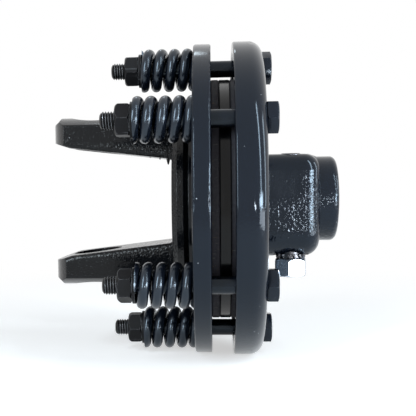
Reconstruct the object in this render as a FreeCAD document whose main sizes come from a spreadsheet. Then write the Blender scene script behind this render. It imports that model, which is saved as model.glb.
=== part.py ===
"""Power take-off friction clutch, in millimetres.

X runs along the shaft line, from the flange yoke towards the splined hub. Z runs along the cross
bore of the yoke. X = 0 is the friction face of the pressure plate. The friction pack, the cup of
the hub and the sprung side of the plate are stacked from that face.
"""

import FreeCAD, Part
import Sketcher
import math
import os

from FreeCAD import Placement, Rotation, Vector

# Driving sizes, in millimetres and degrees, each written once
SIZES = {
    "plate_outer": 93.0,
    "plate_inner": 53.0,
    "plate_thick": 10.0,
    "plate_edge": 1.2,
    "disc_bolt_gap": 1.7,
    "disc_inner": 54.0,
    "disc_chamfer": 0.5,
    "lining_thick": 4.5,
    "flange_thick": 6.5,
    "cup_overhang": 1.0,
    "cup_rim_wall": 6.0,
    "cup_rim_lap": 2.9,
    "cup_depth": 14.3,
    "cup_floor": 4.8,
    "cup_ring_margin": 1.0,
    "cup_recess_draft": 2.0,
    "cup_corner": 8.0,
    "cup_lip_edge": 1.2,
    "hub_radius": 27.0,
    "hub_end_taper": 1.4,
    "hub_taper_run": 4.2,
    "hub_shoulder": 62.5,
    "collar_radius": 25.3,
    "hub_end": 74.0,
    "collar_round": 3.5,
    "lobe_reach": 33.5,
    "lobe_top": 26.5,
    "lobe_bottom": 33.0,
    "lobe_far_side": 4.5,
    "lobe_top_corner": 9.5,
    "lobe_bottom_corner": 15.0,
    "lobe_far_corner": 10.0,
    "lobe_end_round": 9.0,
    "hub_root_round": 3.0,
    "spigot_radius": 25.0,
    "spigot_reach": 12.0,
    "spline_minor": 14.9,
    "spline_major": 17.45,
    "spline_key": 8.7,
    "spline_lead": 1.2,
    "bush_wall": 3.0,
    "bush_clearance": 0.05,
    "bush_shoulder": 2.0,
    "bush_recess": 1.0,
    "base_radius": 51.5,
    "base_thick": 9.6,
    "base_gap": 2.8,
    "base_round": 3.0,
    "neck_radius": 49.0,
    "neck_fillet": 2.0,
    "window_radius": 22.0,
    "ear_outer": 51.0,
    "ear_half_width": 23.5,
    "ear_tip_arc": 37.0,
    "ear_reach": 95.4,
    "ear_tip_bevel": 5.0,
    "ear_edge": 2.0,
    "ear_inner_edge": 3.0,
    "fork_root": 24.6,
    "fork_mouth": 32.1,
    "fork_mouth_place": 84.0,
    "fork_lip": 35.8,
    "fork_root_fillet": 3.5,
    "cross_bore_radius": 15.1,
    "cross_bore_place": 70.5,
    "clip_inner_face": 46.1,
    "clip_groove_width": 1.8,
    "clip_groove_depth": 1.0,
    "bolt_inset": 14.3,
    "bolt_fan_degrees": 55.0,
    "bolt_radius": 5.0,
    "bolt_hole_radius": 5.5,
    "bolt_length": 90.0,
    "bolt_tip_chamfer": 1.2,
    "head_height": 6.4,
    "hex_flats": 17.0,
    "hex_face_inset": 0.55,
    "hex_chamfer": 1.1,
    "nut_height": 8.4,
    "nut_clearance": 0.05,
    "washer_radius": 10.0,
    "washer_bore": 5.3,
    "washer_thick": 1.6,
    "spring_length": 31.8,
    "spring_radius": 13.0,
    "spring_wire": 6.2,
    "spring_pitch": 7.7,
    "pin_place": 46.0,
    "pin_offset": 21.4,
    "pin_top_radius": 6.3,
    "pin_foot_radius": 5.9,
    "pin_clearance": 0.05,
    "pin_proud": 0.4,
    "pin_thread_radius": 5.5,
    "pin_seat": 31.5,
    "pin_seat_radius": 10.5,
    "pin_washer_thick": 2.5,
    "pin_washer_radius": 8.6,
    "pin_washer_gap": 0.2,
    "pin_nut_height": 10.8,
    "pin_nut_flats": 17.0,
}

# Turn of each hexagon about its own bolt, in degrees from a corner straight up, bolts 1 to 6
HEAD_TURNS = (0.0, 34.0, 30.0, 27.0, 12.0, 48.0)
NUT_TURNS = (39.0, 25.0, 3.0, 30.0, 17.0, 44.0)
PIN_NUT_TURN = 3.0
# Where the wire of each spring starts at its nut, in degrees from straight up towards -Y
SPRING_STARTS = (0.0, 230.0, 100.0, 290.0, 40.0, 160.0)

PATH_POINTS_PER_TURN = 9
CLOSED_TURNS = 0.8
CUT_MARGIN = 5.0
SAME_PLACE = 1e-4


class Size:
    """A length that keeps the spreadsheet formula it comes from beside its value."""

    def __init__(self, value, formula):
        self.value = value
        self.formula = formula

    def __add__(self, other):
        other = as_size(other)
        return Size(self.value + other.value, f"({self.formula} + {other.formula})")

    def __sub__(self, other):
        other = as_size(other)
        return Size(self.value - other.value, f"({self.formula} - {other.formula})")

    def __mul__(self, other):
        other = as_size(other)
        return Size(self.value * other.value, f"({self.formula} * {other.formula})")

    def __neg__(self):
        return Size(-self.value, f"(-1 * {self.formula})")

    __radd__ = __add__
    __rmul__ = __mul__


def as_size(value):
    """The value itself if it is a Size, otherwise a Size that holds a plain number."""
    return value if isinstance(value, Size) else Size(float(value), repr(float(value)))


def sine(angle):
    """The sine of a Size in degrees."""
    return Size(math.sin(math.radians(angle.value)), f"sin({angle.formula})")


def cosine(angle):
    """The cosine of a Size in degrees."""
    return Size(math.cos(math.radians(angle.value)), f"cos({angle.formula})")


def root_of(value):
    """The square root of a Size."""
    return Size(math.sqrt(value.value), f"sqrt({value.formula})")


doc = FreeCAD.newDocument("pto_friction_clutch")
sheet = doc.addObject("Spreadsheet::Sheet", "Sizes")
for row, (alias, number) in enumerate(SIZES.items(), start=1):
    sheet.set(f"A{row}", alias)
    sheet.set(f"B{row}", str(number))
    sheet.setAlias(f"B{row}", alias)
doc.recompute()


def size(alias):
    """The Size of a spreadsheet cell."""
    return Size(float(sheet.get(alias)), f"Sizes.{alias}")


# Radii that follow the plate
CUP_OUTER = size("plate_outer") + size("cup_overhang")
BOLT_CIRCLE = size("plate_outer") - size("bolt_inset")
DISC_OUTER = BOLT_CIRCLE - size("bolt_radius") - size("disc_bolt_gap")
CUP_RING = DISC_OUTER + size("cup_ring_margin")

# Stations along the shaft line
FLANGE_LEFT = size("lining_thick")
FLANGE_RIGHT = FLANGE_LEFT + size("flange_thick")
CUP_FACE = FLANGE_RIGHT + size("lining_thick")
CUP_BACK = CUP_FACE + size("cup_depth")
RIM_EDGE = CUP_FACE - size("cup_rim_lap")
PLATE_BACK = -size("plate_thick")
BASE_RIGHT = PLATE_BACK - size("base_gap")
BASE_LEFT = BASE_RIGHT - size("base_thick")
BOLT_TIP = CUP_BACK - size("bolt_length")
SPRING_SEAT = PLATE_BACK - size("spring_length")
NUT_FACE = SPRING_SEAT - size("washer_thick")
SPIGOT_END = -size("spigot_reach")
BUSH_SEAT = SPIGOT_END - size("bush_shoulder")
EAR_TIP = -size("ear_reach")
CROSS_PLACE = -size("cross_bore_place")
PIN_Y = -size("pin_offset")


def origin_plane(body, role):
    """One of the origin planes or axes of a body."""
    return next(item for item in body.Origin.OriginFeatures if item.Role == role)


def new_body(label):
    """An empty body with its own label."""
    body = doc.addObject("PartDesign::Body", label)
    body.Label = label
    return body


def new_sketch(body, name, plane, offset=None):
    """A sketch on an origin plane of its body, or parallel to it at an offset along its normal."""
    sketch = body.newObject("Sketcher::SketchObject", name)
    sketch.AttachmentSupport = (origin_plane(body, plane), [""])
    sketch.MapMode = "FlatFace"
    if offset is not None:
        sketch.AttachmentOffset = Placement(Vector(0, 0, offset.value), Rotation())
        sketch.setExpression("AttachmentOffset.Base.z", offset.formula)
    return sketch


def bind(sketch, constraint, name, amount):
    """Add a constraint to a sketch under a name, and drive it from the spreadsheet."""
    index = sketch.addConstraint(constraint)
    sketch.renameConstraint(index, name)
    sketch.setExpression(f"Constraints.{name}", amount.formula)


def place_point(sketch, name, geometry, end, u, v):
    """Fix one end of a sketch line at (u, v), each from the spreadsheet, or free where it is None."""
    if u is not None:
        bind(sketch, Sketcher.Constraint("DistanceX", -1, 1, geometry, end, u.value), f"{name}_u", u)
    if v is not None:
        bind(sketch, Sketcher.Constraint("DistanceY", -1, 1, geometry, end, v.value), f"{name}_v", v)


def add_polygon(sketch, name, points):
    """A closed outline of straight lines through points, each a pair of sizes."""
    pairs = [(as_size(u), as_size(v)) for u, v in points]
    corners = [Vector(u.value, v.value, 0) for u, v in pairs]
    lines = []
    for here, there in zip(corners, corners[1:] + corners[:1]):
        lines.append(sketch.addGeometry(Part.LineSegment(here, there), False))
    for line, after in zip(lines, lines[1:] + lines[:1]):
        sketch.addConstraint(Sketcher.Constraint("Coincident", line, 2, after, 1))
    for number, (line, (u, v)) in enumerate(zip(lines, pairs)):
        place_point(sketch, f"{name}{number}", line, 1, u, v)


def add_circle(sketch, name, u, v, radius):
    """A circle in a sketch, with its centre and radius driven by the spreadsheet."""
    u, v = as_size(u), as_size(v)
    circle = sketch.addGeometry(Part.Circle(Vector(u.value, v.value, 0), Vector(0, 0, 1), radius.value))
    bind(sketch, Sketcher.Constraint("Radius", circle, radius.value), f"{name}_radius", radius)
    place_point(sketch, name, circle, 3, u, v)


def turned(body, name, points):
    """Revolve a closed outline of (station, radius) points about the X axis of a body."""
    sketch = new_sketch(body, f"{name}_profile", "XZ_Plane")
    add_polygon(sketch, "corner", points)
    feature = body.newObject("PartDesign::Revolution", name)
    feature.Profile = sketch
    feature.ReferenceAxis = (sketch, ["H_Axis"])
    feature.Angle = 360.0
    doc.recompute()
    return feature


def grooved(body, name, points):
    """Cut away a closed outline of (station, radius) points turned about the X axis of a body."""
    sketch = new_sketch(body, f"{name}_profile", "XZ_Plane")
    add_polygon(sketch, "corner", points)
    feature = body.newObject("PartDesign::Groove", name)
    feature.Profile = sketch
    feature.ReferenceAxis = (sketch, ["H_Axis"])
    feature.Angle = 360.0
    doc.recompute()
    return feature


def padded(body, name, sketch, length, both_ways=False):
    """Pad a sketch by a length along its normal, or by half of it each way."""
    feature = body.newObject("PartDesign::Pad", name)
    feature.Profile = sketch
    feature.setExpression("Length", length.formula)
    if both_ways:
        feature.Midplane = True
    doc.recompute()
    return feature


def pocketed_through(body, name, sketch):
    """Cut a sketch right through its body, both ways from its plane."""
    before = body.Shape.Volume
    feature = body.newObject("PartDesign::Pocket", name)
    feature.Profile = sketch
    feature.Type = "ThroughAll"
    feature.Midplane = True
    doc.recompute()
    check_cut(body, name, before)
    return feature


def check_cut(body, name, before):
    """Stop where a cut has removed nothing from its body."""
    if body.Shape.Volume > before - SAME_PLACE:
        raise RuntimeError(f"{name} cuts nothing from {body.Label}")


def repeated(body, feature, name, count):
    """Repeat a feature evenly round the X axis of its body."""
    pattern = body.newObject("PartDesign::PolarPattern", name)
    pattern.Originals = [feature]
    pattern.Axis = (origin_plane(body, "X_Axis"), [""])
    pattern.Angle = 360.0
    pattern.Occurrences = count
    body.Tip = pattern
    doc.recompute()
    return pattern


def near(number, amount):
    """True where a number is the value of a size."""
    return abs(number - amount.value) < SAME_PLACE


def circle_edges(shape, wanted):
    """Names of the full circles about X in a shape at the wanted (station, radius) pairs."""
    names = []
    for index, edge in enumerate(shape.Edges, start=1):
        curve = edge.Curve
        if not isinstance(curve, Part.Circle) or abs(abs(curve.Axis.x) - 1) > SAME_PLACE:
            continue
        for station, radius in wanted:
            if near(curve.Center.x, station) and near(curve.Radius, radius):
                names.append(f"Edge{index}")
    return names


def edges_where(shape, test):
    """Names of the edges in a shape for which test is true."""
    return [f"Edge{index}" for index, edge in enumerate(shape.Edges, start=1) if test(edge)]


def filleted(body, name, edges, radius):
    """Round the named edges of a body's newest feature."""
    if not edges:
        raise RuntimeError(f"{name} finds no edge on {body.Label}")
    base = body.Tip
    feature = body.newObject("PartDesign::Fillet", name)
    feature.Base = (base, edges)
    feature.setExpression("Radius", radius.formula)
    doc.recompute()
    return feature


def ring(label, left, right, inner, outer, chamfer=None):
    """A flat ring between two stations, with its outer corners chamfered where a size is given."""
    body = new_body(label)
    chamfer = chamfer or as_size(0.0)
    outline = [(left, inner), (left, outer - chamfer)]
    if chamfer.value:
        outline.append((left + chamfer, outer))
        outline.append((right - chamfer, outer))
    outline.append((right, outer - chamfer))
    outline.append((right, inner))
    turned(body, "ring", outline)
    return body


def bolt_centre(number):
    """Y and Z of a bolt from 1 to 6: one at the top, one below, and a pair either side of each."""
    fan = size("bolt_fan_degrees")
    side, level = sine(fan) * BOLT_CIRCLE, cosine(fan) * BOLT_CIRCLE
    middle = as_size(0.0)
    upper, lower = (middle, BOLT_CIRCLE), (middle, -BOLT_CIRCLE)
    return (upper, (-side, level), (-side, -level), lower, (side, -level), (side, level))[number - 1]


def put_on_bolt(item, number, turn=0.0):
    """Move a piece made about the X axis to the axis of a bolt, turned about itself in degrees."""
    y, z = bolt_centre(number)
    item.Placement = Placement(Vector(0, y.value, z.value), Rotation(Vector(1, 0, 0), turn))
    item.setExpression("Placement.Base.y", y.formula)
    item.setExpression("Placement.Base.z", z.formula)


def add_bolt_holes(body):
    """Six holes on the bolt circle: the upper three are cut, then repeated half a turn round."""
    sketch = new_sketch(body, "bolt_hole_circles", "YZ_Plane")
    for number in (1, 2, 6):
        y, z = bolt_centre(number)
        add_circle(sketch, f"hole{number}", y, z, size("bolt_hole_radius"))
    doc.recompute()
    holes = pocketed_through(body, "bolt_holes", sketch)
    repeated(body, holes, "bolt_hole_pattern", 2)


def hexagon(sketch, flats):
    """A hexagon about the sketch origin, with a corner on its vertical axis."""
    half = flats * 0.5
    corner = flats * (1 / math.sqrt(3))
    short = corner * 0.5
    rest = as_size(0.0)
    left_side = [(rest, corner), (-half, short), (-half, -short)]
    points = left_side + [(rest, -corner), (half, -short), (half, short)]
    add_polygon(sketch, "corner", points)
    return corner


def pressure_plate():
    """Machined ring that the springs press on: it slides on the clamp bolts and clears the yoke."""
    outer, edge = size("plate_outer"), size("plate_edge")
    body = ring("pressure_plate", PLATE_BACK, as_size(0.0), size("plate_inner"), outer)
    rims = circle_edges(body.Shape, ((PLATE_BACK, outer), (as_size(0.0), outer)))
    filleted(body, "rim_rounding", rims, edge)
    add_bolt_holes(body)


def lining(label, left):
    """Pressed friction ring of one side of the yoke's flange."""
    right = left + size("lining_thick")
    ring(label, left, right, size("disc_inner"), DISC_OUTER, size("disc_chamfer"))


def centre_bush():
    """Bronze bush, pressed in the yoke, that keeps it true on the hub's spigot."""
    bore = size("spigot_radius") + size("bush_clearance")
    outer = size("spigot_radius") + size("bush_wall")
    ring("centre_bush", BUSH_SEAT, FLANGE_RIGHT - size("bush_recess"), bore, outer, size("disc_chamfer"))


def sketch_ear_plan(body):
    """Plan of both ears: straight flanks that end in a broad arc about a centre on the shaft line."""
    sketch = new_sketch(body, "ear_plan", "XY_Plane")
    half, arc, tip = size("ear_half_width"), size("ear_tip_arc"), EAR_TIP
    root = BASE_RIGHT - size("base_thick") * 0.5
    centre = tip + arc
    shoulder = centre - root_of(arc * arc - half * half)
    spread = math.asin(half.value / arc.value)
    lower = sketch.addGeometry(line_between(root, -half, shoulder, -half), False)
    circle = Part.Circle(Vector(centre.value, 0, 0), Vector(0, 0, 1), arc.value)
    tip_arc = sketch.addGeometry(Part.ArcOfCircle(circle, math.pi - spread, math.pi + spread), False)
    upper = sketch.addGeometry(line_between(shoulder, half, root, half), False)
    back = sketch.addGeometry(line_between(root, half, root, -half), False)
    sketch.addConstraint(Sketcher.Constraint("Coincident", lower, 2, tip_arc, 2))
    sketch.addConstraint(Sketcher.Constraint("Coincident", tip_arc, 1, upper, 1))
    sketch.addConstraint(Sketcher.Constraint("Coincident", upper, 2, back, 1))
    sketch.addConstraint(Sketcher.Constraint("Coincident", back, 2, lower, 1))
    place_point(sketch, "root_lower", lower, 1, root, -half)
    place_point(sketch, "root_upper", back, 1, root, half)
    place_point(sketch, "flank_lower", lower, 2, None, -half)
    place_point(sketch, "flank_upper", upper, 1, None, half)
    place_point(sketch, "arc_centre", tip_arc, 3, centre, as_size(0.0))
    bind(sketch, Sketcher.Constraint("Radius", tip_arc, arc.value), "arc_radius", arc)
    doc.recompute()
    return sketch


def line_between(u_start, v_start, u_end, v_end):
    """A straight line between two points given as sizes."""
    start = Vector(u_start.value, v_start.value, 0)
    return Part.LineSegment(start, Vector(u_end.value, v_end.value, 0))


def cut_fork_gap(body):
    """Open the fork: its walls lean outwards to the mouth and flare at the lips."""
    sketch = new_sketch(body, "fork_gap", "XZ_Plane")
    mouth = -size("fork_mouth_place")
    beyond = EAR_TIP - CUT_MARGIN
    lip_run = size("ear_reach") - size("fork_mouth_place")
    flare = size("fork_lip") - size("fork_mouth")
    # The lip line goes on at its own slope to CUT_MARGIN past the tips
    share = Size(CUT_MARGIN / lip_run.value, f"({CUT_MARGIN} / {lip_run.formula})")
    outside = size("fork_lip") + flare * share
    root, wide = size("fork_root"), size("fork_mouth")
    upper = [(BASE_LEFT, root), (mouth, wide), (beyond, outside)]
    lower = [(station, -height) for station, height in reversed(upper)]
    add_polygon(sketch, "corner", upper + lower)
    doc.recompute()
    pocketed_through(body, "fork", sketch)
    corners = edges_where(body.Shape, is_fork_root)
    filleted(body, "fork_root_rounding", corners, size("fork_root_fillet"))


def is_fork_root(edge):
    """True for the two straight corners across the bottom of the fork."""
    if not isinstance(edge.Curve, Part.Line):
        return False
    ends = [vertex.Point for vertex in edge.Vertexes]
    at_base = all(near(point.x, BASE_LEFT) for point in ends)
    at_wall = all(near(abs(point.z), size("fork_root")) for point in ends)
    return at_base and at_wall and near(ends[0].z, as_size(ends[1].z))


def cut_clip_grooves(body):
    """Grooves for the two clips that keep the bearing caps in the cross bore."""
    sketch = new_sketch(body, "clip_grooves", "XZ_Plane")
    axis_line = line_between(CROSS_PLACE, -size("ear_outer"), CROSS_PLACE, size("ear_outer"))
    axis = sketch.addGeometry(axis_line, True)
    place_point(sketch, "axis_foot", axis, 1, CROSS_PLACE, -size("ear_outer"))
    place_point(sketch, "axis_head", axis, 2, CROSS_PLACE, size("ear_outer"))
    inner = CROSS_PLACE + size("cross_bore_radius") - size("clip_groove_depth")
    outer = CROSS_PLACE + size("cross_bore_radius") + size("clip_groove_depth")
    near = size("clip_inner_face")
    far = near + size("clip_groove_width")
    add_polygon(sketch, "upper", [(inner, near), (outer, near), (outer, far), (inner, far)])
    add_polygon(sketch, "lower", [(inner, -far), (outer, -far), (outer, -near), (inner, -near)])
    before = body.Shape.Volume
    feature = body.newObject("PartDesign::Groove", "clip_groove_cut")
    feature.Profile = sketch
    feature.ReferenceAxis = (sketch, ["Axis0"])
    feature.Angle = 360.0
    doc.recompute()
    check_cut(body, "clip_groove_cut", before)


def flange_yoke():
    """Forged yoke: two ears on a round base, a neck through the plate, and the driven flange."""
    body = new_body("flange_yoke")
    plan = sketch_ear_plan(body)
    padded(body, "ears", plan, (size("ear_outer") + CUT_MARGIN) * 2.0, both_ways=True)
    cut_fork_gap(body)
    outer, bevel = size("ear_outer"), size("ear_tip_bevel")
    beyond, clear = EAR_TIP - CUT_MARGIN, outer + outer
    slope_start = outer - bevel - CUT_MARGIN
    outside = [(beyond, slope_start), (EAR_TIP + bevel, outer), (BASE_RIGHT, outer)]
    grooved(body, "ear_outside", outside + [(BASE_RIGHT, clear), (beyond, clear)])
    outside_edges = edges_where(body.Shape, is_outer_ear_edge)
    filleted(body, "ear_edge_rounding", outside_edges, size("ear_edge"))
    inside_edges = edges_where(body.Shape, is_inner_ear_edge)
    filleted(body, "ear_inner_rounding", inside_edges, size("ear_inner_edge"))
    add_yoke_disc(body)
    open_yoke_middle(body)
    sketch = new_sketch(body, "cross_bore_circle", "XY_Plane")
    add_circle(sketch, "bore", CROSS_PLACE, 0.0, size("cross_bore_radius"))
    doc.recompute()
    pocketed_through(body, "cross_bore", sketch)
    cut_clip_grooves(body)


def is_ear_edge(edge):
    """True for the long edges where a flank of an ear meets its outside or its inside."""
    ends = [vertex.Point for vertex in edge.Vertexes]
    middle = edge.valueAt((edge.FirstParameter + edge.LastParameter) / 2)
    on_flank = all(near(abs(point.y), size("ear_half_width")) for point in ends + [middle])
    return on_flank and middle.x < BASE_LEFT.value and not near(ends[0].x, as_size(ends[-1].x))


def is_outer_ear_edge(edge):
    """True for the long edges on the outside of an ear, beyond the lips of the fork."""
    beyond_lip = all(abs(vertex.Point.z) > size("fork_lip").value for vertex in edge.Vertexes)
    return is_ear_edge(edge) and beyond_lip


def is_inner_ear_edge(edge):
    """True for the long edges on the inside of an ear."""
    return is_ear_edge(edge) and not is_outer_ear_edge(edge)


def add_yoke_disc(body):
    """Round base, neck and driven flange of the yoke."""
    base, neck = size("base_radius"), size("neck_radius")
    chamfer, base_round = size("disc_chamfer"), size("base_round")
    outline = [
        (BASE_LEFT, 0.0),
        (BASE_LEFT, base - base_round),
        (BASE_LEFT + base_round, base),
        (BASE_RIGHT - base_round, base),
        (BASE_RIGHT, base - base_round),
        (BASE_RIGHT, neck),
        (FLANGE_LEFT, neck),
        (FLANGE_LEFT, DISC_OUTER - chamfer),
        (FLANGE_LEFT + chamfer, DISC_OUTER),
        (FLANGE_RIGHT - chamfer, DISC_OUTER),
        (FLANGE_RIGHT, DISC_OUTER - chamfer),
        (FLANGE_RIGHT, 0.0),
    ]
    turned(body, "base_and_flange", outline)
    root = circle_edges(body.Shape, ((FLANGE_LEFT, neck),))
    filleted(body, "neck_rounding", root, size("neck_fillet"))


def open_yoke_middle(body):
    """Window that the shaft's end stands in, and the wider seat of the bush behind it."""
    window, seat = size("window_radius"), size("spigot_radius") + size("bush_wall")
    start, end = BASE_LEFT - CUT_MARGIN, FLANGE_RIGHT + CUT_MARGIN
    opening = [(start, 0.0), (start, window), (BUSH_SEAT, window)]
    outline = opening + [(BUSH_SEAT, seat), (end, seat), (end, 0.0)]
    grooved(body, "window_and_bush_seat", outline)


def pin_hole_outline(grow):
    """Half section of the tapered pin from its top to its foot, (distance from its axis, height)."""
    top, seat = size("lobe_top") + size("pin_proud"), -size("pin_seat")
    return [
        (as_size(0.0), top),
        (size("pin_top_radius") + grow, top),
        (size("pin_foot_radius") + grow, seat),
        (as_size(0.0), seat),
    ]


def on_pin_axis(outline):
    """The same outline moved from the Z axis to the axis of the pin."""
    return [(size("pin_place") + distance, height) for distance, height in outline]


def turned_on_pin(body, kind, name, outline):
    """Turn a half section about the pin's own axis, to add to a body or to cut from it."""
    sketch = new_sketch(body, f"{name}_profile", "XZ_Plane", size("pin_offset"))
    add_polygon(sketch, "corner", on_pin_axis(outline))
    before = body.Shape.Volume if kind == "PartDesign::Groove" else None
    feature = body.newObject(kind, name)
    feature.Profile = sketch
    axis_line = line_between(size("pin_place"), -CUP_OUTER, size("pin_place"), CUP_OUTER)
    axis = sketch.addGeometry(axis_line, True)
    place_point(sketch, "axis_foot", axis, 1, size("pin_place"), -CUP_OUTER)
    place_point(sketch, "axis_head", axis, 2, size("pin_place"), CUP_OUTER)
    feature.ReferenceAxis = (sketch, ["Axis0"])
    feature.Angle = 360.0
    doc.recompute()
    if before is not None:
        check_cut(body, name, before)
    return feature


def add_pin_lobe(body):
    """Swelling of the hub that carries the tapered pin, flat above and below the bore."""
    reach, far_side = size("lobe_reach"), size("lobe_far_side")
    top, bottom = size("lobe_top"), size("lobe_bottom")
    start = CUP_BACK - size("cup_floor")
    sketch = new_sketch(body, "lobe_outline", "YZ_Plane", start)
    add_polygon(sketch, "corner", [(-reach, top), (far_side, top), (far_side, -bottom), (-reach, -bottom)])
    doc.recompute()
    padded(body, "lobe", sketch, size("hub_shoulder") - start)
    above = edges_where(body.Shape, is_lobe_top_corner)
    filleted(body, "lobe_top_rounding", above, size("lobe_top_corner"))
    pin_side = edges_where(body.Shape, is_lobe_bottom_corner)
    filleted(body, "lobe_bottom_rounding", pin_side, size("lobe_bottom_corner"))
    below = edges_where(body.Shape, is_lobe_far_corner)
    filleted(body, "lobe_far_rounding", below, size("lobe_far_corner"))
    ends = edges_where(body.Shape, is_lobe_end)
    filleted(body, "lobe_end_rounding", ends, size("lobe_end_round"))


def runs_along(edge, y):
    """True for a long corner of the lobe at a distance y from its middle plane."""
    ends = [vertex.Point for vertex in edge.Vertexes]
    along = not near(ends[0].x, as_size(ends[-1].x))
    return along and all(near(point.y, y) for point in ends)


def is_lobe_top_corner(edge):
    """True for the long corner above the pin, on the outside of the lobe."""
    return runs_along(edge, -size("lobe_reach")) and near(edge.Vertexes[0].Point.z, size("lobe_top"))


def is_lobe_bottom_corner(edge):
    """True for the long corner below the pin, on the outside of the lobe."""
    return runs_along(edge, -size("lobe_reach")) and near(edge.Vertexes[0].Point.z, -size("lobe_bottom"))


def is_lobe_far_corner(edge):
    """True for the long corner below the hub on the side away from the pin."""
    return runs_along(edge, size("lobe_far_side")) and near(edge.Vertexes[0].Point.z, -size("lobe_bottom"))


def is_lobe_end(edge):
    """True for the outer edges of the lobe's end face, without the one inside the hub."""
    ends = [vertex.Point for vertex in edge.Vertexes]
    at_end = all(near(point.x, size("hub_shoulder")) for point in ends)
    return at_end and not all(near(point.y, size("lobe_far_side")) for point in ends)


def hub_housing():
    """One casting: the cup that takes the bolt heads, the splined hub and the spigot of the bush."""
    body = new_body("hub_housing")
    add_pin_lobe(body)
    inside, floor = CUP_OUTER - size("cup_rim_wall"), CUP_BACK - size("cup_floor")
    draft = size("cup_recess_draft")
    hub, collar, shoulder = size("hub_radius"), size("collar_radius"), size("hub_shoulder")
    outline = [
        (SPIGOT_END, 0.0),
        (SPIGOT_END, size("spigot_radius")),
        (CUP_FACE, size("spigot_radius")),
        (CUP_FACE, CUP_RING),
        (floor, CUP_RING + draft),
        (floor, inside - draft),
        (RIM_EDGE, inside),
        (RIM_EDGE, CUP_OUTER),
        (CUP_BACK, CUP_OUTER),
        (CUP_BACK, hub),
        (shoulder - size("hub_taper_run"), hub),
        (shoulder, hub - size("hub_end_taper")),
        (shoulder, collar),
        (size("hub_end"), collar),
        (size("hub_end"), 0.0),
    ]
    turned(body, "cup_and_hub", outline)
    corner = circle_edges(body.Shape, ((CUP_BACK, CUP_OUTER),))
    filleted(body, "cup_corner_rounding", corner, size("cup_corner"))
    lip = circle_edges(body.Shape, ((RIM_EDGE, CUP_OUTER), (RIM_EDGE, inside)))
    filleted(body, "cup_lip_rounding", lip, size("cup_lip_edge"))
    end = circle_edges(body.Shape, ((size("hub_end"), collar),))
    filleted(body, "collar_rounding", end, size("collar_round"))
    root = edges_where(body.Shape, is_hub_root)
    filleted(body, "hub_root_rounding", root, size("hub_root_round"))
    add_bolt_holes(body)
    cut_bore(body)
    cut_spline(body)
    turned_on_pin(body, "PartDesign::Groove", "pin_hole", pin_hole_outline(size("pin_clearance")))
    seat, below = -size("pin_seat"), -size("lobe_bottom") - CUT_MARGIN
    spot = [(0.0, seat), (size("pin_seat_radius"), seat), (size("pin_seat_radius"), below), (0.0, below)]
    turned_on_pin(body, "PartDesign::Groove", "pin_seat_facing", spot)


def is_hub_root(edge):
    """True for the edges where the hub and its lobe rise out of the back of the cup."""
    middle = edge.valueAt((edge.FirstParameter + edge.LastParameter) / 2)
    in_back = all(near(point.x, CUP_BACK) for point in [vertex.Point for vertex in edge.Vertexes] + [middle])
    return in_back and math.hypot(middle.y, middle.z) < BOLT_CIRCLE.value


def cut_bore(body):
    """Round bore on the spline's minor circle, with a lead-in at each end."""
    bore, lead, end = size("spline_minor"), size("spline_lead"), size("hub_end")
    left = [(SPIGOT_END, 0.0), (SPIGOT_END, bore + lead), (SPIGOT_END + lead, bore)]
    grooved(body, "bore", left + [(end - lead, bore), (end, bore + lead), (end, 0.0)])


def cut_spline(body):
    """Six straight-sided grooves of the shaft spline, with their floors on the major circle."""
    sketch = new_sketch(body, "spline_groove", "YZ_Plane")
    half, major = size("spline_key") * 0.5, size("spline_major")
    inside = size("spline_minor") - size("spline_lead")
    reach = root_of(major * major - half * half)
    lean = math.asin(half.value / major.value)
    left = sketch.addGeometry(line_between(-half, inside, -half, reach), False)
    right = sketch.addGeometry(line_between(half, reach, half, inside), False)
    close = sketch.addGeometry(line_between(half, inside, -half, inside), False)
    circle = Part.Circle(Vector(0, 0, 0), Vector(0, 0, 1), major.value)
    floor = sketch.addGeometry(Part.ArcOfCircle(circle, math.pi / 2 - lean, math.pi / 2 + lean), False)
    sketch.addConstraint(Sketcher.Constraint("Coincident", left, 2, floor, 2))
    sketch.addConstraint(Sketcher.Constraint("Coincident", floor, 1, right, 1))
    sketch.addConstraint(Sketcher.Constraint("Coincident", right, 2, close, 1))
    sketch.addConstraint(Sketcher.Constraint("Coincident", close, 2, left, 1))
    sketch.addConstraint(Sketcher.Constraint("Coincident", floor, 3, -1, 1))
    place_point(sketch, "left_foot", left, 1, -half, inside)
    place_point(sketch, "right_foot", right, 2, half, inside)
    place_point(sketch, "left_top", left, 2, -half, None)
    place_point(sketch, "right_top", right, 1, half, None)
    bind(sketch, Sketcher.Constraint("Radius", floor, major.value), "floor_radius", major)
    doc.recompute()
    groove = pocketed_through(body, "spline_groove_cut", sketch)
    repeated(body, groove, "spline_pattern", 6)


def hex_body(label, left, right, flats, bore, chamfer_left, chamfer_right):
    """A hexagon between two stations, with its corners turned off at one end or both."""
    body = new_body(label)
    sketch = new_sketch(body, "hexagon", "YZ_Plane", left)
    corner = hexagon(sketch, flats)
    if bore is not None:
        add_circle(sketch, "bore", 0.0, 0.0, bore)
    doc.recompute()
    padded(body, "hexagon_pad", sketch, right - left)
    cut_hex_corners(body, left, right, flats, corner, chamfer_left, chamfer_right)
    return body


def cut_hex_corners(body, left, right, flats, corner, chamfer_left, chamfer_right):
    """Turn the corners of a hexagon down to a cone at its ends."""
    depth = size("hex_chamfer")
    inner, outer = flats * 0.5 - size("hex_face_inset"), corner + depth
    if chamfer_left:
        cone = [(left, inner), (left + depth, outer), (left - depth, outer), (left - depth, inner)]
        grooved(body, "left_chamfer", cone)
    if chamfer_right:
        cone = [(right, inner), (right - depth, outer), (right + depth, outer), (right + depth, inner)]
        grooved(body, "right_chamfer", cone)


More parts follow.
